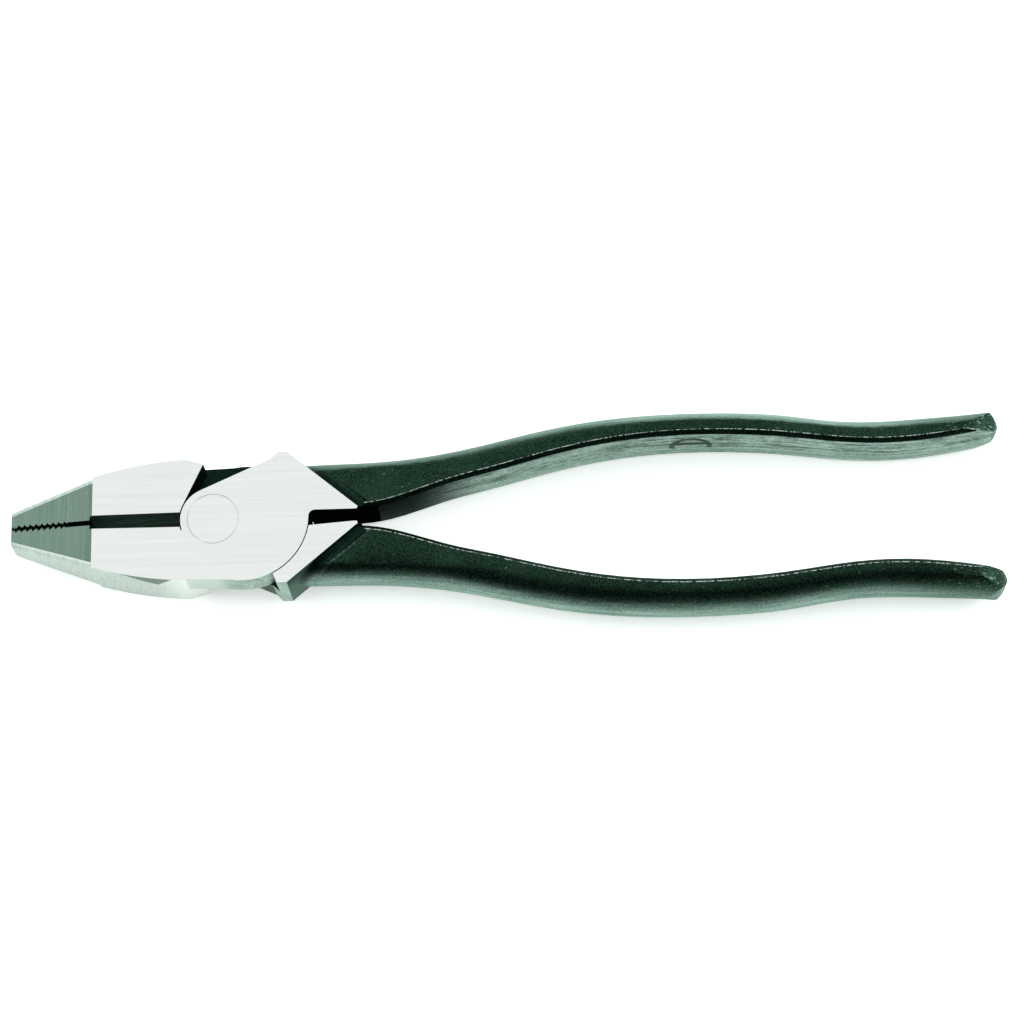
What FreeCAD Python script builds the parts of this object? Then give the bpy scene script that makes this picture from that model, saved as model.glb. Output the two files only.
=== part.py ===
"""Lineman pliers: two drop-forged halves lapped on one flush rivet.

Frame: the rivet axis is the Z axis, the flat ground face that rests on the bench is
z = 0, +X runs from the rivet to the handle ends and +Y to the handle of the half that
carries the upper lap plate.  All sizes are in millimetres.
"""
import FreeCAD, Part
import math
import os

V = FreeCAD.Vector

# overall
NOSE_REACH = 48.5          # rivet axis to the nose
HANDLE_REACH = 186.5       # rivet axis to the handle ends
HEAD_THICKNESS = 15.8      # over the two ground faces
MID = HEAD_THICKNESS / 2

# clearances
LAP_CLEARANCE = 0.10       # between the two lap plates
SEAM_CLEARANCE = 0.25      # round seam between a plate and the other half's cheek
THROAT_CLEARANCE = 0.30    # plate end to the back of the opposite jaw
RUNNING_CLEARANCE = 0.04   # rivet in the bore of the half that turns

# lap plate
THROAT_RADIUS = 7.75       # end of the plate, round the rivet axis
THROAT_TURN = 20.0         # degrees that this round runs on past the X axis
CHEEK_RADIUS = 15.7        # big round of the plate
CHEEK_X = 6.9              # its centre sits behind the rivet
CHEEK_Y = 0.3
CHEEK_END_ANGLE = -101.0   # where the big round meets the side of the jaw
PLATE_OVERLAP = 2.0        # plate outline runs this far into the jaw
PLATE_INSET = 0.3          # and stays this far inside the jaw's side
PLATE_EDGE_ANGLE = 24.0    # straight edge of the plate that stops the opening
SEAM_START_ANGLE = 63.0    # seam at the ear
SEAM_END_Y = 2.3           # seam beside the crotch
EAR_START_X = 15.2
EAR_END_X = 17.5
EAR_HALF_WIDTH = 16.15
SHOULDER_TIP_X = 34.2      # end of the ground face between the handles
TIP_ROUND_LENGTH = 0.4     # rounding of that tip, along and across
TIP_ROUND_WIDTH = 0.95
CROTCH_HALF_WIDTH = 1.5    # slot between the handle roots
CROTCH_CORNER_RADIUS = 1.5
OPENING_ANGLE = 40.0
STOP_MARGIN = 0.6          # angle left between plate edge and jaw back when fully open

# jaw
NOSE_HALF_WIDTH = 4.4
NOSE_HALF_THICKNESS = 4.0
NOSE_CORNER_RADIUS = 0.7
FACET_LENGTH = 19.8        # nose to the step of the tapered facets
FACET_STEP = 0.35
STEP_HALF_WIDTH = 11.2     # jaw half width at the step
APEX_X = -7.0              # widest point of the jaw
APEX_HALF_WIDTH = 15.0
JAW_BOW = 0.65             # how far the jaw side bulges past its chord
BACK_CORNER_HALF_WIDTH = 13.7   # where the jaw back turns toward the apex
JAW_EDGE_RADIUS = 1.3      # rounding of the jaw's long edges beside the facets
ROUND_FLATS = (18, 36, 54, 72)   # tilts of the narrow flats that make up the round

# grip teeth and knife
BITE_GAP = 0.20            # between the two closed jaws
TOOTH_START = 0.7          # nose to the first tooth
TOOTH_COUNT = 9
TOOTH_PITCH = 1.4
TOOTH_DEPTH = 0.95
TOOTH_STEEP_SHARE = 0.25   # share of the pitch taken by a tooth's steep side
SLIT_DEPTH = 0.62          # smooth relief behind the teeth
SLIT_OVERLAP = 0.2         # the relief starts inside the last tooth
KNIFE_SLOT_NOSE = 1.7      # half width of the knife slot at its nose end
KNIFE_SLOT_THROAT = 1.95
KNIFE_SLOT_RUN_OUT = 0.6   # the slot starts this far under the facets
KNIFE_WALL_DEPTH = 3.6     # steep part of the slot wall
KNIFE_WALL_LEAN = 0.35
KNIFE_GAP = 0.10

# rivet
RIVET_RADIUS = 4.4
RIVET_HEAD_RADIUS = 6.05
RIVET_HEAD_DEPTH = 2.0

# handle
ROOT_X = 19.0              # where the handle starts inside the cheek
ROOT_GAP = 0.4             # handle root stands back from the crotch
ROOT_DEPTH = 12.6          # inner face to the back, inside the cheek
ROOT_CREASE_SHARE = 0.68
ROOT_HALF_THICKNESS = 6.9
GRIP_BOW = 17.6            # inner face of the grip at its widest bow
GRIP_HALF_THICKNESS = 7.6
GRIP_DEPTH = 7.3           # inner face to the back, along the grip
# share of the grip's length, of the bow, of the depth, of the depth at the crease,
# and of the growth in thickness
GRIP_SHAPE = ((0.00, 0.00, 1.78, 0.75, 0.0),
              (0.05, 0.07, 1.67, 0.74, 0.15),
              (0.10, 0.22, 1.45, 0.66, 0.4),
              (0.24, 0.59, 1.23, 0.46, 0.7),
              (0.37, 0.88, 1.10, 0.46, 0.9),
              (0.50, 1.00, 1.00, 0.48, 1.0),
              (0.63, 0.96, 1.00, 0.48, 1.0),
              (0.76, 0.81, 0.97, 0.48, 1.0),
              (0.88, 0.81, 0.99, 0.48, 1.0))
END_SHAPE = (0.93, 0.84, 0.48, 1.0)   # the same shares where the end's rounding starts
OVERSHOOT = (1.02, 1.02, 0.84, 0.48, 1.0)
FLAT_DROP = 0.50           # fall of the handle's flat from inner edge to crease
INNER_CHAMFER = 1.0
PARTING_CROWN = 0.18       # inner face stands proud at the forging line
END_LENGTH = 11.0          # rounded length of the handle end
END_FULLNESS = 0.15        # the end's round is this much taller than the grip
END_CORNER_RADIUS = 5.0    # back corner of the end, seen from above
END_INNER_RADIUS = 3.5     # inner corner
VALLEY_RADIUS = 1.7        # groove between ground face and handle
VALLEY_DEPTH = 0.8
VALLEY_RUN_IN = 6.0        # the groove starts ahead of the ear
VALLEY_RUN_OUT = 1.0       # and ends past the tip

# cutters run past the part
OVER = 1.0                 # over its faces
REACH = 80.0               # to its sides and ends

NOSE_X = -NOSE_REACH
STEP_X = NOSE_X + FACET_LENGTH
CROTCH_START_X = CHEEK_X + CHEEK_RADIUS


def polar(radius, degrees, cx=0.0, cy=0.0):
    """Point on a circle in the plane z = 0."""
    angle = math.radians(degrees)
    return V(cx + radius * math.cos(angle), cy + radius * math.sin(angle), 0)


def line(a, b):
    return Part.LineSegment(a, b).toShape()


def arc(a, b, c):
    return Part.Arc(a, b, c).toShape()


def prism(edges, low, high):
    """Upright solid over a closed outline of edges drawn at z = 0."""
    face = Part.Face(Part.Wire(edges))
    face.translate(V(0, 0, low))
    return face.extrude(V(0, 0, high - low))


def polygon(points):
    closed = points + [points[0]]
    return [line(a, b) for a, b in zip(closed, closed[1:])]


def arc_on(radius, start, end, cx, cy):
    """Arc of a circle between two angles in degrees."""
    return arc(polar(radius, start, cx, cy), polar(radius, (start + end) / 2, cx, cy),
               polar(radius, end, cx, cy))


def shoulder():
    """Outline shared by plate and cheek: the flat of the ear and the rounded tip."""
    ear_a = V(EAR_START_X, EAR_HALF_WIDTH, 0)
    ear_b = V(EAR_END_X, EAR_HALF_WIDTH, 0)
    tip_x = SHOULDER_TIP_X - TIP_ROUND_LENGTH
    tip_top = V(tip_x, CROTCH_HALF_WIDTH + TIP_ROUND_WIDTH, 0)
    tip_mid = V(SHOULDER_TIP_X, CROTCH_HALF_WIDTH + TIP_ROUND_WIDTH / 2, 0)
    tip_low = V(tip_x, CROTCH_HALF_WIDTH, 0)
    return ear_a, ear_b, tip_top, tip_mid, tip_low


def stop_edge(ear_a):
    """Edge of the plate that stops the opening, up to the 45 degree side of the ear."""
    start = polar(THROAT_RADIUS, 90 + PLATE_EDGE_ANGLE)
    slope = math.tan(math.radians(PLATE_EDGE_ANGLE))
    height = start.y - slope * start.x
    x = (ear_a.y - ear_a.x - height) / (slope - 1)
    return start, V(x, height + slope * x, 0)


def plate_outline():
    """Lap plate: throat arc, stop edge, ear, shoulder, crotch, big round, jaw side."""
    ear_a, ear_b, tip_top, tip_mid, tip_low = shoulder()
    stop_start, stop_end = stop_edge(ear_a)
    throat_end = 180 + THROAT_TURN
    throat_low = polar(THROAT_RADIUS, throat_end)
    corner_x = CROTCH_START_X + CROTCH_CORNER_RADIUS
    corner_y = CROTCH_HALF_WIDTH - CROTCH_CORNER_RADIUS
    corner_top = V(corner_x, CROTCH_HALF_WIDTH, 0)
    corner_mid = polar(CROTCH_CORNER_RADIUS, 135, corner_x, corner_y)
    cheek_angle = math.degrees(math.asin((corner_y - CHEEK_Y) / CHEEK_RADIUS))
    cheek_start = polar(CHEEK_RADIUS, cheek_angle, CHEEK_X, CHEEK_Y)
    cheek_end = polar(CHEEK_RADIUS, CHEEK_END_ANGLE, CHEEK_X, CHEEK_Y)
    jaw_side = V(APEX_X - PLATE_OVERLAP, PLATE_INSET - APEX_HALF_WIDTH, 0)
    jaw_inner = V(APEX_X - PLATE_OVERLAP, throat_low.y, 0)
    edges = [arc_on(THROAT_RADIUS, throat_end, 90 + PLATE_EDGE_ANGLE, 0, 0)]
    edges += [line(stop_start, stop_end), line(stop_end, ear_a), line(ear_a, ear_b)]
    edges += [line(ear_b, tip_top), arc(tip_top, tip_mid, tip_low), line(tip_low, corner_top)]
    edges += [arc(corner_top, corner_mid, cheek_start)]
    edges += [arc_on(CHEEK_RADIUS, cheek_angle, CHEEK_END_ANGLE, CHEEK_X, CHEEK_Y)]
    edges += [line(cheek_end, jaw_side), line(jaw_side, jaw_inner), line(jaw_inner, throat_low)]
    return edges


def cheek_outline():
    """Full-thickness cheek behind the other half's plate: seam, ear, shoulder, tip."""
    ear_a, ear_b, tip_top, tip_mid, tip_low = shoulder()
    seam = CHEEK_RADIUS + SEAM_CLEARANCE
    end_angle = math.degrees(math.asin((SEAM_END_Y + CHEEK_Y) / seam))
    seam_start = polar(seam, SEAM_START_ANGLE, CHEEK_X, -CHEEK_Y)
    seam_end = polar(seam, end_angle, CHEEK_X, -CHEEK_Y)
    return [arc_on(seam, SEAM_START_ANGLE, end_angle, CHEEK_X, -CHEEK_Y),
            line(seam_end, tip_low), arc(tip_low, tip_mid, tip_top), line(tip_top, ear_b),
            line(ear_b, ear_a), line(ear_a, seam_start)]


def jaw_blank():
    """Jaw of the lower side (y < 0), full thickness, with its curved back."""
    gap = -BITE_GAP / 2
    radius = THROAT_RADIUS + THROAT_CLEARANCE
    back_angle = PLATE_EDGE_ANGLE + OPENING_ANGLE + STOP_MARGIN
    lean = math.radians(back_angle)
    start = V(-math.sqrt(radius ** 2 - gap ** 2), gap, 0)
    middle = polar(radius, 180 + (90 - back_angle) / 2)
    tangent = polar(radius, 270 - back_angle)
    corner_x = (BACK_CORNER_HALF_WIDTH * math.cos(lean) - radius) / math.sin(lean)
    corner = V(corner_x, -BACK_CORNER_HALF_WIDTH, 0)
    apex = V(APEX_X, -APEX_HALF_WIDTH, 0)
    step = V(STEP_X, -STEP_HALF_WIDTH, 0)
    along = apex - step
    bow = (apex + step) * 0.5 + V(along.y, -along.x, 0).normalize() * JAW_BOW
    nose = V(NOSE_X, -NOSE_HALF_WIDTH, 0)
    edges = [line(V(NOSE_X, gap, 0), start), arc(start, middle, tangent), line(tangent, corner)]
    edges += [line(corner, apex), arc(apex, bow, step), line(step, nose)]
    edges += [line(nose, V(NOSE_X, gap, 0))]
    return prism(edges, 0, HEAD_THICKNESS)


def nose_facets():
    """Wedges above and below the nose that leave the two tapered facets."""
    wedges = []
    for side in (1, -1):
        face = MID + side * (MID + OVER)
        step = MID + side * (MID - FACET_STEP)
        tip = MID + side * NOSE_HALF_THICKNESS
        slope = (tip - step) / FACET_LENGTH
        outline = [V(STEP_X, -REACH, face), V(STEP_X, -REACH, step),
                   V(NOSE_X - OVER, -REACH, tip + slope * OVER), V(NOSE_X - OVER, -REACH, face)]
        wedges.append(Part.Face(Part.Wire(polygon(outline))).extrude(V(0, 2 * REACH, 0)))
    return wedges


def knife_cut():
    """Slot over and under the knife edge: steep wall, then a bevel to the edge."""
    wires = []
    bevel = MID - KNIFE_WALL_DEPTH
    for x, half in ((STEP_X - KNIFE_SLOT_RUN_OUT, KNIFE_SLOT_NOSE), (0.0, KNIFE_SLOT_THROAT)):
        wall = -half + KNIFE_WALL_LEAN
        upper = [V(x, OVER, HEAD_THICKNESS + OVER), V(x, -half, HEAD_THICKNESS + OVER),
                 V(x, wall, MID + bevel)]
        lower = [V(p.x, p.y, HEAD_THICKNESS - p.z) for p in reversed(upper)]
        wires.append(Part.Wire(polygon(upper + [V(x, -KNIFE_GAP / 2, MID)] + lower)))
    return Part.makeLoft(wires, True, True)


def teeth_cut(shift):
    """Saw teeth near the nose, then a smooth shallow relief up to the knife."""
    cuts = []
    start = NOSE_X + TOOTH_START + shift * TOOTH_PITCH
    for index in range(TOOTH_COUNT):
        x = start + index * TOOTH_PITCH
        root = V(x + TOOTH_STEEP_SHARE * TOOTH_PITCH, -TOOTH_DEPTH, 0)
        outline = [V(x, OVER, 0), V(x, 0, 0), root, V(x + TOOTH_PITCH, 0, 0),
                   V(x + TOOTH_PITCH, OVER, 0)]
        cuts.append(prism(polygon(outline), -OVER, HEAD_THICKNESS + OVER))
    relief_start = start + TOOTH_COUNT * TOOTH_PITCH - SLIT_OVERLAP
    relief = Part.makeBox(STEP_X - relief_start, SLIT_DEPTH + OVER, HEAD_THICKNESS + 2 * OVER)
    relief.translate(V(relief_start, -SLIT_DEPTH, -OVER))
    return cuts + [relief]


def tangent_cuts(start, end, up):
    """Cutters that turn the sharp edge from start to end into a round of narrow flats."""
    along = V(end - start).normalize()
    out = V(along.y, -along.x, 0).normalize()
    up = V(up).normalize()
    axis = start - (out + up) * JAW_EDGE_RADIUS
    keep = Part.makeBox(REACH, 2 * REACH, 2 * REACH)
    keep.translate(V(STEP_X - REACH, -REACH, -REACH))
    cutters = []
    for degrees in ROUND_FLATS:
        angle = math.radians(degrees)
        normal = up * math.cos(angle) + out * math.sin(angle)
        across = normal.cross(along).normalize()
        foot = axis + normal * JAW_EDGE_RADIUS
        corners = [foot + along * (u * REACH) + across * (v * REACH)
                   for u, v in ((-1, -1), (1, -1), (1, 1), (-1, 1))]
        block = Part.Face(Part.Wire(polygon(corners))).extrude(normal * REACH)
        cutters.append(block.common(keep))
    return cutters


def long_edge_cuts():
    """Rounding of the jaw's outer edges beside the facets, above and below."""
    slope = (MID - FACET_STEP - NOSE_HALF_THICKNESS) / FACET_LENGTH
    cutters = []
    for side in (1, -1):
        tip = V(NOSE_X, -NOSE_HALF_WIDTH, MID + side * NOSE_HALF_THICKNESS)
        step = V(STEP_X, -STEP_HALF_WIDTH, MID + side * (MID - FACET_STEP))
        cutters += tangent_cuts(tip, step, V(-slope, 0, side))
    return cutters


def jaw(shift):
    """Finished jaw with rounded nose corner and sides."""
    solid = jaw_blank()
    nose = V(NOSE_X, -NOSE_HALF_WIDTH, MID)
    corner = [e for e in solid.Edges if (e.CenterOfMass - nose).Length < FACET_STEP]
    solid = solid.makeFillet(NOSE_CORNER_RADIUS, corner)
    for cutter in nose_facets() + long_edge_cuts() + teeth_cut(shift) + [knife_cut()]:
        solid = solid.cut(cutter)
    return solid


def handle_stations():
    """Handle sections: x, inner face, crease, back and half thickness."""
    grip = HANDLE_REACH - SHOULDER_TIP_X
    root_inner = CROTCH_HALF_WIDTH + ROOT_GAP
    rows = [(ROOT_X, root_inner, root_inner + ROOT_CREASE_SHARE * ROOT_DEPTH,
             root_inner + ROOT_DEPTH, ROOT_HALF_THICKNESS)]
    rounding = (1 - END_CORNER_RADIUS / grip,) + END_SHAPE
    for along, bow, deep, crease, thick in GRIP_SHAPE + (rounding, OVERSHOOT):
        inner = root_inner + bow * (GRIP_BOW - root_inner)
        depth = deep * GRIP_DEPTH
        half = ROOT_HALF_THICKNESS + thick * (GRIP_HALF_THICKNESS - ROOT_HALF_THICKNESS)
        rows.append((SHOULDER_TIP_X + along * grip, inner, inner + crease * depth, inner + depth,
                     half))
    return rows


def handle_section(x, inner, crease, back, half):
    """Closed section: crowned inner face, chamfers, two flats and a round back."""
    low = half - FLAT_DROP
    edge = inner + PARTING_CROWN
    top = [V(x, inner, MID), V(x, edge, MID + half - INNER_CHAMFER),
           V(x, edge + INNER_CHAMFER, MID + half), V(x, crease, MID + low)]
    bottom = [V(p.x, p.y, 2 * MID - p.z) for p in top]
    edges = [line(a, b) for a, b in zip(top, top[1:])]
    edges += [arc(top[-1], V(x, back, MID), bottom[-1])]
    edges += [line(b, a) for a, b in zip(reversed(bottom[:-1]), reversed(bottom[1:]))]
    return Part.Wire(edges)


def end_corners():
    """Blocks that round the back and the inner corner of the handle end."""
    _, inner, _, back, _ = handle_stations()[-2]
    blocks = []
    for radius, y, low in ((END_CORNER_RADIUS, back - END_CORNER_RADIUS, 0),
                           (END_INNER_RADIUS, inner + END_INNER_RADIUS, -REACH)):
        x = HANDLE_REACH - radius
        block = Part.makeBox(REACH, REACH, 2 * REACH, V(x, y + low, -REACH))
        blocks.append(block.cut(Part.makeCylinder(radius, 2 * REACH, V(x, y, -REACH))))
    return blocks


def handle():
    """Bowed handle through its sections, thumb-rounded at the end."""
    wires = [handle_section(*row) for row in handle_stations()]
    solid = Part.makeLoft(wires, True, False)
    centre = HANDLE_REACH - END_LENGTH
    side = Part.Ellipse(V(0, 0, 0), END_LENGTH, GRIP_HALF_THICKNESS + END_FULLNESS)
    cap = Part.Face(Part.Wire([side.toShape()])).extrude(V(0, 0, REACH))
    cap.rotate(V(0, 0, 0), V(1, 0, 0), 90)
    cap.translate(V(centre, REACH / 2, MID))
    body = Part.makeBox(centre, REACH, HEAD_THICKNESS + 2 * OVER, V(0, -REACH / 2, -OVER))
    return solid.common(cap.fuse(body)).cut(end_corners())


def valley():
    """Round grooves along the shoulder, above and below, outside the ground faces."""
    _, ear_b, tip_top, _, _ = shoulder()
    along = tip_top - ear_b
    outward = V(-along.y, along.x, 0).normalize()
    offset = math.sqrt(VALLEY_RADIUS ** 2 - (VALLEY_RADIUS - VALLEY_DEPTH) ** 2)
    length = along.Length + VALLEY_RUN_IN + VALLEY_RUN_OUT
    grooves = []
    for side in (1, -1):
        start = ear_b + outward * offset - V(along).normalize() * VALLEY_RUN_IN
        start.z = MID + side * (ROOT_HALF_THICKNESS + VALLEY_RADIUS - VALLEY_DEPTH)
        grooves.append(Part.makeCylinder(VALLEY_RADIUS, length, start, along))
    return grooves


def forged_half(shift):
    """One half: lower jaw, upper lap plate, cheek below it and the +Y handle."""
    lap = MID + LAP_CLEARANCE / 2
    plate = prism(plate_outline(), lap, HEAD_THICKNESS)
    cheek = prism(cheek_outline(), 0, HEAD_THICKNESS)
    seam = Part.makeCylinder(CHEEK_RADIUS + SEAM_CLEARANCE, lap + OVER,
                             V(CHEEK_X, -CHEEK_Y, -OVER))
    grip = handle().cut([seam] + valley())
    return jaw(shift).fuse([plate, cheek, grip]).removeSplitter()


def rivet_form(clearance):
    """Shank with a countersunk flush head at both faces, grown by a clearance."""
    radius = RIVET_RADIUS + clearance
    head = RIVET_HEAD_RADIUS + clearance
    points = [V(0, 0, 0), V(head, 0, 0), V(radius, 0, RIVET_HEAD_DEPTH),
              V(radius, 0, HEAD_THICKNESS - RIVET_HEAD_DEPTH), V(head, 0, HEAD_THICKNESS),
              V(0, 0, HEAD_THICKNESS)]
    return Part.Face(Part.Wire(polygon(points))).revolve(V(0, 0, 0), V(0, 0, 1), 360)


def turned_over(solid):
    """Half turn about the long axis at mid thickness."""
    flipped = solid.copy()
    flipped.rotate(V(0, 0, MID), V(1, 0, 0), 180)
    return flipped


def main():
    os.makedirs("parts", exist_ok=True)
    lower_jaw_half = forged_half(0.0).cut(rivet_form(RUNNING_CLEARANCE))
    upper_jaw_half = turned_over(forged_half(0.5)).cut(rivet_form(0.0))
    pieces = {"upper_jaw_half": upper_jaw_half, "lower_jaw_half": lower_jaw_half,
              "rivet": rivet_form(0.0)}
    for name, solid in pieces.items():
        if not solid.isValid() or len(solid.Solids) != 1:
            raise ValueError(f"{name} is not one valid solid")
        solid.exportStep(f"parts/{name}.step")


main()
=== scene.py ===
import math

import bmesh
import bpy
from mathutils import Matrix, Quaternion, Vector


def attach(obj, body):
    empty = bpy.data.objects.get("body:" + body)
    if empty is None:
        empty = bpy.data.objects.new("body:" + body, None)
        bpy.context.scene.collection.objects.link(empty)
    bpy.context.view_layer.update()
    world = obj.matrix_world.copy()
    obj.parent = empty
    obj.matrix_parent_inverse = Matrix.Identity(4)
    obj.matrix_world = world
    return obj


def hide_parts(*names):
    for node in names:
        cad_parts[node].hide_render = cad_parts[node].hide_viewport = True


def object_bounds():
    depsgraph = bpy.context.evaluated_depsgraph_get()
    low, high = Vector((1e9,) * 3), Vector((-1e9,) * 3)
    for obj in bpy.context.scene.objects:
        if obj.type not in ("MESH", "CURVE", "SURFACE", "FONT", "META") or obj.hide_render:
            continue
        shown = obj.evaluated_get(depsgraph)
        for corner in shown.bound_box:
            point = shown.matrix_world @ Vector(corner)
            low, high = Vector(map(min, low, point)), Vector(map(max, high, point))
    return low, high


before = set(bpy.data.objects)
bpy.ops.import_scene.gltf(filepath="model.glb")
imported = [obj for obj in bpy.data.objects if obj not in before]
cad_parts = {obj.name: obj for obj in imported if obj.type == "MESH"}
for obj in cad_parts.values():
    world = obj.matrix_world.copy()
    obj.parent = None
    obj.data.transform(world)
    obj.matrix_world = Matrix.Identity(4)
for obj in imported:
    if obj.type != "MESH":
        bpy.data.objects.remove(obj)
cad_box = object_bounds()


# ---------------------------------------------------------------- the two forged halves
# Each half is one drop forging in plain steel, black from the oil quench.  The head is
# then surface ground, the nose facets are ground across, and the jaw sides belt ground;
# the long edges have the small rounds that tumbling and the hand leave.

HEAD_HEIGHT = cad_box[1][2]
MID_HEIGHT = HEAD_HEIGHT / 2


class Value:
    """A shader socket; + - * / on it add Math nodes."""

    def __init__(self, tree, socket):
        self.tree = tree
        self.socket = socket

    def math(self, operation, *terms):
        """Any other Math node, on the terms given."""
        return self.tree.node("ShaderNodeMath", {"operation": operation}, dict(enumerate(terms)))

    def __add__(self, other):
        return self.math("ADD", self, other)

    def __sub__(self, other):
        return self.math("SUBTRACT", self, other)

    def __rsub__(self, other):
        return self.math("SUBTRACT", other, self)

    def __mul__(self, other):
        return self.math("MULTIPLY", self, other)

    def __abs__(self):
        return self.math("ABSOLUTE", self)

    __radd__ = __add__
    __rmul__ = __mul__

    def over(self, low, high):
        """0 below low, 1 above high, smooth between; the other way round if low > high."""
        return self.tree.node("ShaderNodeMapRange", {"interpolation_type": "SMOOTHSTEP"},
                              {"Value": self, "From Min": low, "From Max": high})


class Tree:
    """A node tree that takes its nodes one at a time."""

    def __init__(self, nodes):
        self.nodes = nodes

    def node(self, kind, settings=None, values=None, out=0):
        """One node: its settings first, then its sockets' values or links."""
        made = self.nodes.nodes.new(kind)
        for key, value in (settings or {}).items():
            setattr(made, key, value)
        for key, value in (values or {}).items():
            if isinstance(value, Value):
                self.nodes.links.new(value.socket, made.inputs[key])
            else:
                made.inputs[key].default_value = value
        return Value(self, made.outputs[out])

    def parts(self, vector):
        """The three numbers of a vector."""
        first = self.node("ShaderNodeSeparateXYZ", {}, {0: vector})
        return [Value(self, socket) for socket in first.socket.node.outputs]

    def mix(self, share, a, b):
        """Colour a where share is 0, colour b where it is 1."""
        ends = [end if isinstance(end, Value) else (*end, 1.0) for end in (a, b)]
        return self.node("ShaderNodeMix", {"data_type": "RGBA"},
                         {0: share, 6: ends[0], 7: ends[1]}, out=2)


class Finish(Tree):
    """A steel finish: one metallic shader with its place on the piece."""

    def __init__(self, name, edge_tint=(1.0, 1.0, 1.0)):
        self.material = bpy.data.materials.new(name)
        self.material.use_nodes = True
        super().__init__(self.material.node_tree)
        self.nodes.nodes.clear()
        self.shader = self.nodes.nodes.new("ShaderNodeBsdfPrincipled")
        self.shader.inputs["Metallic"].default_value = 1.0
        self.shader.inputs["Specular Tint"].default_value = (*edge_tint, 1.0)
        surface = self.nodes.nodes.new("ShaderNodeOutputMaterial").inputs["Surface"]
        self.nodes.links.new(self.shader.outputs[0], surface)
        coordinates = self.nodes.nodes.new("ShaderNodeTexCoord")
        self.place = Value(self, coordinates.outputs["Object"])
        self.x, self.y, self.z = self.parts(self.place)

    def hand(self):
        """1 on the +Y side of the tool, -1 on the other."""
        return self.y.math("SIGN", self.y)

    def rise(self):
        """Height over mid thickness, turned over with the half on the -Y side."""
        return (self.z - MID_HEIGHT) * self.hand()

    def grain(self, scale, detail=3.0, rough=0.6, turn=0.0):
        """Noise 0 to 1; three scales stretch it, and turn swings it round Z."""
        scales = scale if isinstance(scale, tuple) else (scale,) * 3
        moved = self.node("ShaderNodeMapping", {}, {"Vector": self.place, "Scale": scales,
                                                    "Rotation": (0.0, 0.0, turn)})
        return self.node("ShaderNodeTexNoise", {}, {"Vector": moved, "Scale": 1.0,
                                                    "Detail": detail, "Roughness": rough})

    def lay(self, colour, roughness, height, depth):
        """Colour, roughness and relief of the finish."""
        normal = self.node("ShaderNodeBump", {}, {"Height": height, "Distance": depth})
        for key, value in (("Base Color", colour), ("Roughness", roughness), ("Normal", normal)):
            self.nodes.links.new(value.socket, self.shader.inputs[key])
        return self.material


STEP_X = -0.0287            # the nose facets end here
RIVET_HEAD_RADIUS = 0.00605
HANDLE_START_X = 0.0365


def ground_steel():
    """Surface-ground face: fine lines along the tool, and the rivet's faint outline."""
    f = Finish("ground_steel")
    fine = f.grain((50, 4200, 50), 3.0, 0.7)
    wide = f.grain((22, 1300, 22), 3.0, 0.6)
    cloud = f.grain(110, 3.0)
    colour = f.mix((fine * 0.5 + wide * 0.5).over(0.30, 0.70), (0.79, 0.795, 0.79),
                   (0.875, 0.87, 0.872))
    span = f.x * f.x + f.y * f.y
    radius = span.math("SQRT", span)
    ring = abs(radius - RIVET_HEAD_RADIUS).over(0.00016, 0.00005) * f.grain(260).over(0.35, 0.60)
    colour = f.mix(ring * 0.5, colour, (0.30, 0.29, 0.24))
    pit = f.grain(3000, 2.0).over(0.72, 0.78)
    colour = f.mix(pit * 0.5, colour, (0.30, 0.36, 0.33))
    return f.lay(colour, 0.25 + fine * 0.14 + cloud * 0.06, fine * 0.5 + wide * 0.5 - ring, 0.00001)


def facet_steel():
    """Nose facets: darker, with grinding marks across the tool, a painted shadow at the step and
    painted shade along the bite line.
    """
    f = Finish("facet_steel")
    fine = f.grain((3600, 90, 90), 3.0, 0.7)
    wide = f.grain((1100, 30, 30), 3.0, 0.6)
    colour = f.mix((fine * 0.6 + wide * 0.4).over(0.28, 0.72), (0.135, 0.203, 0.168),
                   (0.208, 0.288, 0.248))
    # painted shadow: darker band on the facets just before the step up to the ground face
    step_shadow = f.x.over(STEP_X - 0.0016, STEP_X - 0.0002)
    colour = f.mix(step_shadow * 0.55, colour, (0.12, 0.20, 0.16))
    bright = f.grain(2400, 2.0).over(0.68, 0.75)
    colour = f.mix(bright * 0.6, colour, (0.62, 0.74, 0.68))
    # painted shade: dark band along the bite line, in the slit where the jaws meet
    bite_shade = abs(f.y).over(0.00055, 0.00030) * f.grain(1500).over(0.25, 0.45)
    colour = f.mix(bite_shade * 0.9, colour, (0.008, 0.018, 0.013))
    return f.lay(colour, 0.46 + fine * 0.2, fine * 0.6 + wide * 0.4, 0.000008)


MISSED_START_X = -0.0225    # three-cornered patch below the ground face
MISSED_END_X = -0.0095


def side_steel():
    """Belt-ground jaw side: pale, mottled, with one small patch that the belt missed."""
    f = Finish("side_steel")
    grain = f.grain(3400, 3.0, 0.7)
    scratch = f.grain((2600, 320, 320), 3.0, 0.6, 0.9)
    cloud = f.grain(120, 3.0)
    colour = f.mix((grain * 0.6 + scratch * 0.4).over(0.3, 0.7), (0.34, 0.41, 0.37),
                   (0.62, 0.69, 0.65))
    colour = f.mix(cloud.over(0.45, 0.75) * 0.3, colour, (0.27, 0.35, 0.31))
    colour = f.mix(f.x.over(-0.018, -0.006) * 0.6, colour, (0.88, 0.91, 0.88))
    from_face = f.rise() + MID_HEIGHT
    left = (f.x - MISSED_START_X) * 0.55
    right = (MISSED_END_X - f.x) * 1.25
    missed = (left.math("MINIMUM", left, right) - from_face).over(0.0, 0.00025)
    colour = f.mix(missed * 0.9, colour, (0.075, 0.135, 0.105))
    return f.lay(colour, 0.36 + grain * 0.2, grain * 0.6 + scratch * 0.4, 0.00002)


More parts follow.
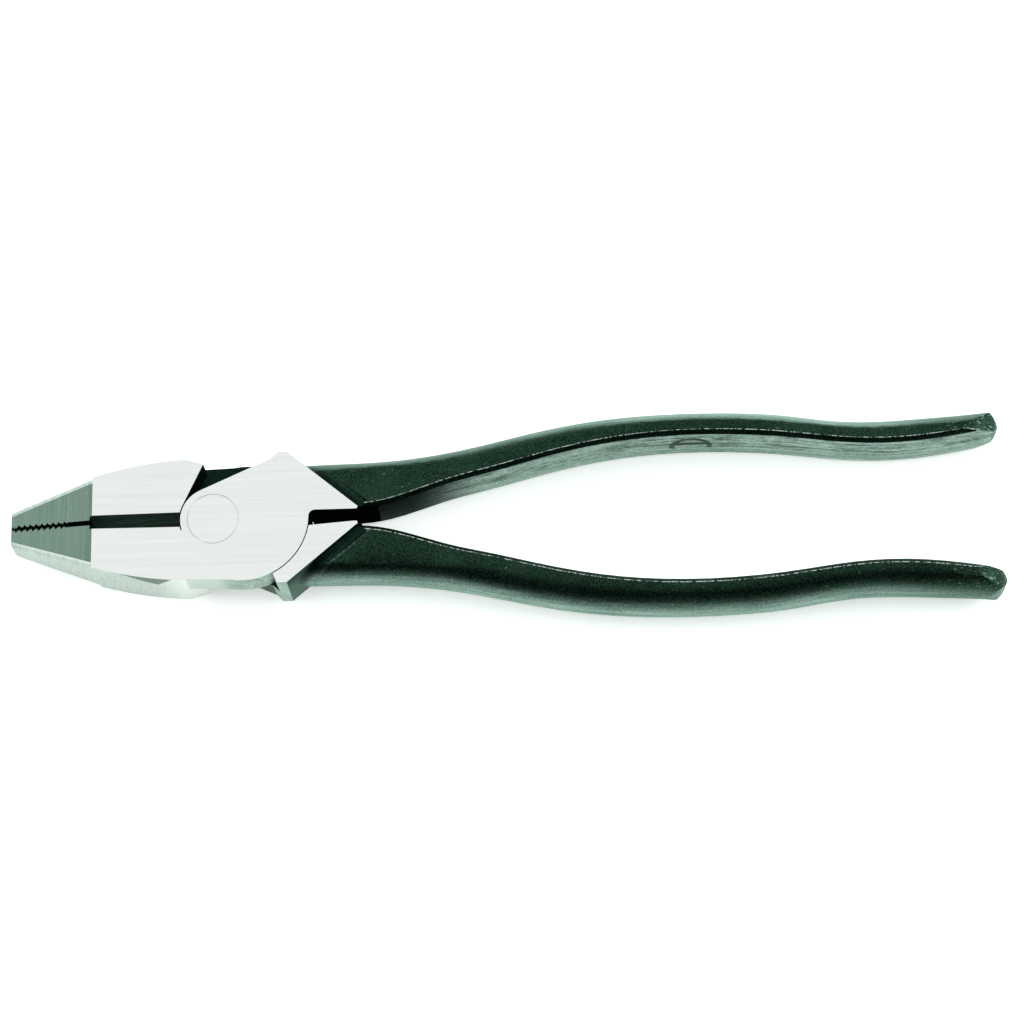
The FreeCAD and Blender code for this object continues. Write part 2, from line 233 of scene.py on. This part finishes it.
def cheek_steel():
    """Sides of plate and ear: less ground, greener, with dark pits left by the forging."""
    f = Finish("cheek_steel")
    grain = f.grain(2000, 3.0, 0.7)
    cloud = f.grain(380, 4.0)
    colour = f.mix((grain * 0.6 + cloud * 0.4).over(0.3, 0.7), (0.17, 0.265, 0.22),
                   (0.46, 0.58, 0.52))
    pale = f.x.over(0.0050, 0.0005)
    colour = f.mix(pale * 0.7, colour, (0.60, 0.67, 0.63))
    pits = (f.grain(1300, 2.0).over(0.60, 0.66)
            * f.x.over(0.0075, 0.0095) * f.x.over(0.0142, 0.0125))
    colour = f.mix(pits, colour, (0.015, 0.035, 0.026))
    return f.lay(colour, 0.36 + grain * 0.2, grain * 0.5 - pits, 0.00005)


EDGE_TINT = (0.82, 1.0, 0.91)
CROTCH_HALF_WIDTH = 0.0022
SHOULDER_X = 0.0175         # the ear, where the sloping shoulder starts
SHOULDER_Y = 0.01615
SHOULDER_TURN = math.radians(49.95)   # its outward direction, from +X
GROOVE_WIDTH = 0.0027


def forged_black():
    """Oil-quenched skin: near black and finely pitted, paler where the hand rubs it and where sheen
    is painted on the sides; painted shade in the shoulder groove and the crotch, and a painted
    highlight on the groove's ridge.
    """
    f = Finish("forged_black", EDGE_TINT)
    grain = f.grain(2100, 4.0, 0.7)
    lumps = f.grain(650, 3.0)
    cloud = f.grain(85, 4.0)
    colour = f.mix(grain.over(0.36, 0.72), (0.0050, 0.0160, 0.0095), (0.028, 0.064, 0.045))
    colour = f.mix(cloud.over(0.42, 0.78) * 0.5, colour, (0.024, 0.056, 0.040))
    specks = f.grain(1700, 2.0, 0.5, 0.4).over(0.66, 0.72) * cloud.over(0.40, 0.60)
    colour = f.mix(specks * 0.5, colour, (0.20, 0.29, 0.25))
    away = abs(f.y)
    facing = f.node("ShaderNodeTexCoord", out=1)
    _, sideways, upright = f.parts(facing)
    hand = f.hand()
    outward = sideways * hand
    # Paler sideways faces: partly wear from the hand, partly painted sheen for the bright floor's
    # reflection; the sheen is set weaker on the +Y handle near the head
    rubbed_and_sheen = abs(upright).over(0.86, 0.66) * outward.over(0.25, 0.55) * f.x.over(0.012, 0.019)
    rubbed_and_sheen = rubbed_and_sheen * (1 - f.x.over(0.150, 0.182) * 0.7)
    rubbed_and_sheen = rubbed_and_sheen * (1 - f.x.over(0.125, 0.045) * hand.over(0.0, 0.5) * 0.65)
    # painted sheen: paler as rise grows, so the -Y handle's side is dark at the top and pale low
    # down
    rubbed_and_sheen = rubbed_and_sheen * f.rise().over(-0.0058, -0.0014)
    lengthwise = f.grain((60, 300, 1400), 4.0, 0.65)
    skin = f.mix((grain * 0.5 + lengthwise * 0.5).over(0.34, 0.66), (0.075, 0.13, 0.108),
                 (0.30, 0.40, 0.36))
    colour = f.mix(rubbed_and_sheen, colour, skin)
    end = f.x.over(0.166, 0.182)
    chips = f.grain((900, 1900, 1100), 4.0, 0.7, 0.6).over(0.58, 0.66) * end
    colour = f.mix(chips * 0.7, colour, (0.30, 0.42, 0.37))
    slope = ((f.x - SHOULDER_X) * math.cos(SHOULDER_TURN)
             + (away - SHOULDER_Y) * math.sin(SHOULDER_TURN))
    root = f.x.over(0.040, 0.0365)
    # painted shade: dark band in the groove along the shoulder, near the root
    colour = f.mix(slope.over(0.0024, 0.0008) * root * 0.8, colour, (0.003, 0.010, 0.007))
    # painted highlight on the groove's ridge, on the -Y half only
    ridge = abs(slope - GROOVE_WIDTH).over(0.00045, 0.0001) * root * grain.over(0.40, 0.56)
    colour = f.mix(ridge * hand.over(0.5, -0.5) * 0.7, colour, (0.10, 0.165, 0.14))
    # painted shade: near black in the narrow crotch between the handles
    crotch = away.over(CROTCH_HALF_WIDTH, CROTCH_HALF_WIDTH - 0.0002) * f.x.over(0.0362, 0.035)
    colour = f.mix(crotch, colour, (0.001, 0.003, 0.002))
    return f.lay(colour, 0.30 + grain * 0.16 + crotch * 0.4, grain * 0.55 + lumps * 0.6, 0.00010)


STAMP_X = 0.1134            # half-round mark that the trimming die left
STAMP_RISE = -0.0010
STAMP_RADIUS = 0.0045
PARTING_RISE = 0.0005       # line where the two dies met; the mark's chord lies on it


def trimmed_black():
    """Inner face of a handle, where the flash was trimmed: streaked, with a die mark, and painted
    shade towards the root.
    """
    f = Finish("trimmed_black", EDGE_TINT)
    streak = f.grain((45, 45, 1500), 4.0, 0.65)
    grain = f.grain(1500, 3.0, 0.65)
    rise = f.rise()
    colour = f.mix((streak * 0.55 + grain * 0.45).over(0.36, 0.62), (0.080, 0.125, 0.108),
                   (0.37, 0.46, 0.42))
    parting = abs(rise - PARTING_RISE).over(0.00050, 0.0002)
    broken = f.grain((120, 120, 700), 3.0).over(0.44, 0.54)
    colour = f.mix(parting * broken * 0.85, colour, (0.006, 0.014, 0.010))
    torn = (f.grain((170, 170, 1900), 4.0, 0.7).over(0.50, 0.57)
            * f.grain(120, 2.0).over(0.40, 0.56) * rise.over(-0.0030, -0.0012))
    colour = f.mix(torn * 0.9, colour, (0.008, 0.018, 0.013))
    along = f.x - STAMP_X
    above = rise - STAMP_RISE
    span = along * along + above * above
    circle = abs(span.math("SQRT", span) - STAMP_RADIUS).over(0.00080, 0.00050)
    arc = circle * above.over(-0.0022, -0.0012)
    chord = (abs(rise - PARTING_RISE).over(0.00105, 0.0007)
             * abs(along).over(STAMP_RADIUS, STAMP_RADIUS - 0.0005))
    stamp = arc.math("MAXIMUM", arc, chord)
    colour = f.mix(stamp, colour, (0.001, 0.003, 0.002))
    # painted shade: darker towards the handle root, next to the crotch
    root = f.x.over(0.066, 0.046)
    colour = f.mix(root, colour, (0.002, 0.006, 0.004))
    relief = streak * 0.6 + grain * 0.4 - torn - stamp
    return f.lay(colour, 0.30 + grain * 0.18 + root * 0.4, relief, 0.00008)


def worn_edge():
    """Long edges of the handles, worn bright in specks."""
    f = Finish("worn_edge", EDGE_TINT)
    grain = f.grain(1500, 3.0, 0.65)
    rub = f.grain(130, 3.0)
    bare = grain.over(0.42, 0.56) * rub.over(0.28, 0.50)
    colour = f.mix(bare * 0.9, (0.012, 0.034, 0.025), (0.66, 0.77, 0.72))
    return f.lay(colour, 0.34 + grain * 0.1, grain, 0.00008)


def knife_steel():
    """Hardened walls beside the knife edge."""
    f = Finish("knife_steel", EDGE_TINT)
    marks = f.grain((260, 260, 2400), 3.0, 0.6)
    keen = abs(f.z - MID_HEIGHT).over(0.00030, 0.00010)
    colour = f.mix(marks.over(0.3, 0.7), (0.13, 0.21, 0.17), (0.28, 0.38, 0.33))
    colour = f.mix(keen * 0.9, colour, (0.80, 0.88, 0.84))
    return f.lay(colour, 0.50 + marks * 0.1, marks, 0.00002)


def shaded_black():
    """Painted shade for the crotch walls: near black and matt, takes up nearly all light."""
    # painted shade: near black, with the grazing reflection dimmed too; the noise only mottles it
    f = Finish("shaded_black", (0.05, 0.07, 0.06))
    scale = f.grain(1200, 3.0)
    colour = f.mix(scale.over(0.35, 0.70), (0.0015, 0.0040, 0.0028), (0.008, 0.017, 0.013))
    return f.lay(colour, 0.60 + scale * 0.2, scale, 0.00006)


finishes = [ground_steel(), facet_steel(), side_steel(), cheek_steel(), forged_black(),
            trimmed_black(), worn_edge(), knife_steel(), shaded_black()]
GROUND, FACET, SIDE, CHEEK, FORGED, TRIMMED, WORN, KNIFE, SHADED = range(len(finishes))

TOUCH = 1e-5                # closer than this is on a ground face
JAW_END_X = -0.0035         # jaw side in front, cheek side behind
EAR_END_X = 0.0178
CHEEK_INNER_Y = 0.0128      # the lap's inner walls lie closer to the axis
BITE_HALF_WIDTH = 0.0022    # the knife slot lies within this
CLEAR_OF_BITE = 0.0012
CROTCH_START_X = 0.0135
CROTCH_END_X = 0.0395
HANDLE_END_X = 0.1740       # beyond this every edge is rounded over
RIDGE_ROUND = 0.00028       # widths of the small rounds
INNER_ROUND = 0.00030
END_ROUND = 0.00110
HEAD_ROUND = 0.00008
MERGE_DISTANCE = 2e-6
FLAT_TURN = math.radians(0.6)
SHARP_TURN = math.radians(38)


def finish_of(face):
    """Which finish a face of a half has, from where it is and how it faces."""
    place = face.calc_center_median()
    normal = face.normal
    outward = normal.y * (1 if place.y > 0 else -1)
    if abs(normal.z) > 0.9995 and not TOUCH < place.z < HEAD_HEIGHT - TOUCH:
        return GROUND
    if place.x < STEP_X + TOUCH and abs(normal.z) > 0.95:
        return FACET
    if abs(place.y) < BITE_HALF_WIDTH and STEP_X < place.x < JAW_END_X:
        return KNIFE
    # crotch walls take the painted-shade finish
    if (CROTCH_START_X < place.x < CROTCH_END_X and abs(place.y) < 1.5 * CROTCH_HALF_WIDTH
            and outward < 0.3 and abs(normal.z) < 0.6):
        return SHADED
    if (place.x < JAW_END_X and abs(place.y) > CLEAR_OF_BITE
            and (outward > 0.2 or normal.x < -0.8)):
        return SIDE
    if place.x < EAR_END_X and outward > 0.2 and abs(place.y) > CHEEK_INNER_Y:
        return CHEEK if abs(normal.z) < 0.2 else FORGED
    if place.x > HANDLE_START_X and outward < -0.8:
        return TRIMMED
    return FORGED


def edges_between(work, low, high, test):
    """Edges whose faces meet at low to high degrees, and that pass the test."""
    picked = []
    for edge in work.edges:
        if len(edge.link_faces) == 2:
            angle = math.degrees(edge.calc_face_angle(0.0))
            middle = (edge.verts[0].co + edge.verts[1].co) / 2
            side = 1 if middle.y > 0 else -1
            outward = min(face.normal.y * side for face in edge.link_faces)
            if low < angle < high and test(middle, outward):
                picked.append(edge)
    return picked


def soften(work, edges, width, segments, finish):
    """Round the edges; the round takes the finish given, or its neighbours' with -1."""
    bmesh.ops.bevel(work, geom=edges, offset=width, segments=segments, profile=0.5,
                    affect="EDGES", clamp_overlap=True, material=finish)


def half(node_name, piece_name, body):
    """Merged copy of a packed half, with softened edges and a finish on every face."""
    work = bmesh.new()
    work.from_mesh(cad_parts[node_name].data)
    bmesh.ops.remove_doubles(work, verts=work.verts, dist=MERGE_DISTANCE)
    bmesh.ops.dissolve_limit(work, angle_limit=FLAT_TURN, verts=work.verts, edges=work.edges)
    work.normal_update()
    for face in work.faces:
        face.material_index = finish_of(face)
    ridge = edges_between(work, 32, 80, lambda p, out: p.x > HANDLE_START_X and -0.8 < out < -0.3)
    soften(work, ridge, RIDGE_ROUND, 2, WORN)
    inner = edges_between(work, 32, 80, lambda p, out: p.x > HANDLE_START_X and out < -0.85)
    soften(work, inner, INNER_ROUND, 2, FORGED)
    end = edges_between(work, 20, 110, lambda p, out: p.x > HANDLE_END_X)
    soften(work, end, END_ROUND, 4, FORGED)
    head = edges_between(work, 40, 130, lambda p, out: p.x < HANDLE_START_X
                         and not (p.x < STEP_X and abs(p.y) < 0.001))
    soften(work, head, HEAD_ROUND, 1, -1)
    mesh = bpy.data.meshes.new(piece_name)
    work.to_mesh(mesh)
    work.free()
    for finish in finishes:
        mesh.materials.append(finish)
    mesh.attributes.remove(mesh.attributes["custom_normal"])
    mesh.set_sharp_from_angle(angle=SHARP_TURN)
    for face in mesh.polygons:
        face.use_smooth = face.material_index not in (GROUND, FACET, KNIFE)
    piece = bpy.data.objects.new(piece_name, mesh)
    bpy.context.scene.collection.objects.link(piece)
    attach(piece, body)
    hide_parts(node_name)


half("upper_jaw_half", "upper_jaw_forging", "upper_jaw_body")
half("lower_jaw_half", "lower_jaw_forging", "lower_jaw_body")


# ---------------------------------------------------------------- rivet
# Steel rivet set hot into countersinks, then ground flush with both faces of the
# joint, so that only a faint ring shows.

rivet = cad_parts["rivet"]
rivet.data.materials.clear()
rivet.data.materials.append(finishes[GROUND])


# ---------------------------------------------------------------- floor
# Plain pale sheet lit softly from below as well, as a light table is.

FLOOR_REACH = 6.0
FLOOR_DROP = 0.00005

floor_mesh = bpy.data.meshes.new("floor")
floor_mesh.from_pydata([(-FLOOR_REACH, -FLOOR_REACH, 0), (FLOOR_REACH, -FLOOR_REACH, 0),
                        (FLOOR_REACH, FLOOR_REACH, 0), (-FLOOR_REACH, FLOOR_REACH, 0)],
                       [], [(0, 1, 2, 3)])
floor = bpy.data.objects.new("floor", floor_mesh)
bpy.context.scene.collection.objects.link(floor)
floor.location.z = -FLOOR_DROP
sheet = Finish("floor_sheet")
sheet.shader.inputs["Metallic"].default_value = 0.0
sheet.shader.inputs["Emission Color"].default_value = (0.95, 1.0, 0.975, 1.0)
sheet.shader.inputs["Emission Strength"].default_value = 0.55
fibre = sheet.grain(900, 2.0)
floor_mesh.materials.append(sheet.lay(sheet.mix(fibre, (0.90, 0.92, 0.91), (0.94, 0.96, 0.95)),
                                      0.85 + fibre * 0.1, fibre, 0.00001))


# ---------------------------------------------------------------- light
# A bright soft room with one dim side, where the observer stands, and a soft panel
# beyond each end of the tool.

world = bpy.data.worlds.new("studio")
bpy.context.scene.world = world
world.use_nodes = True
room = Tree(world.node_tree)
background = world.node_tree.nodes["Background"]
direction = room.node("ShaderNodeTexCoord")
_, across, up = room.parts(direction)
dim_side = across.over(-0.14, -0.58) * up.over(0.0, 0.12)
room_light = room.mix(dim_side, (0.95, 1.0, 0.975), (0.02, 0.025, 0.022))
world.node_tree.links.new(room_light.socket, background.inputs["Color"])
background.inputs["Strength"].default_value = 1.0

TOOL_CENTRE = Vector((0.07, 0.0, MID_HEIGHT))
PANEL_SIZE = (0.7, 0.5)
PANEL_POWER = 5.0


def soft_panel(name, place):
    """Rectangular lamp turned to the middle of the tool."""
    data = bpy.data.lights.new(name, "AREA")
    data.shape = "RECTANGLE"
    data.size, data.size_y = PANEL_SIZE
    data.energy = PANEL_POWER
    lamp = bpy.data.objects.new(name, data)
    bpy.context.scene.collection.objects.link(lamp)
    lamp.location = place
    lamp.rotation_euler = (TOOL_CENTRE - Vector(place)).to_track_quat("-Z", "Y").to_euler()


soft_panel("nose_panel", (-1.0, 0.1, 0.6))
soft_panel("handle_panel", (1.15, 0.1, 0.6))


# ---------------------------------------------------------------- camera
# Long lens looking steeply down on the tool from the side of the lower jaw.

CAMERA_DISTANCE = 0.7896
CAMERA_ELEVATION = math.radians(71.96)
CAMERA_AZIMUTH = math.radians(5.45)
CAMERA_ROLL = math.radians(-6.88)
CAMERA_TARGET = Vector((0.0704, 0.0020, MID_HEIGHT))
LENS_MM = 116.75
SENSOR_MM = 36.0

camera_data = bpy.data.cameras.new("camera")
camera_data.lens = LENS_MM
camera_data.sensor_width = SENSOR_MM
camera_data.clip_start = 0.01
camera = bpy.data.objects.new("camera", camera_data)
bpy.context.scene.collection.objects.link(camera)
toward_camera = Vector((math.sin(CAMERA_AZIMUTH) * math.cos(CAMERA_ELEVATION),
                        -math.cos(CAMERA_AZIMUTH) * math.cos(CAMERA_ELEVATION),
                        math.sin(CAMERA_ELEVATION)))
camera.location = CAMERA_TARGET + toward_camera * CAMERA_DISTANCE
camera.rotation_mode = "QUATERNION"
level = (-toward_camera).to_track_quat("-Z", "Y")
camera.rotation_quaternion = level @ Quaternion((0, 0, 1), CAMERA_ROLL)
bpy.context.scene.camera = camera
bpy.context.scene.view_settings.view_transform = "Standard"
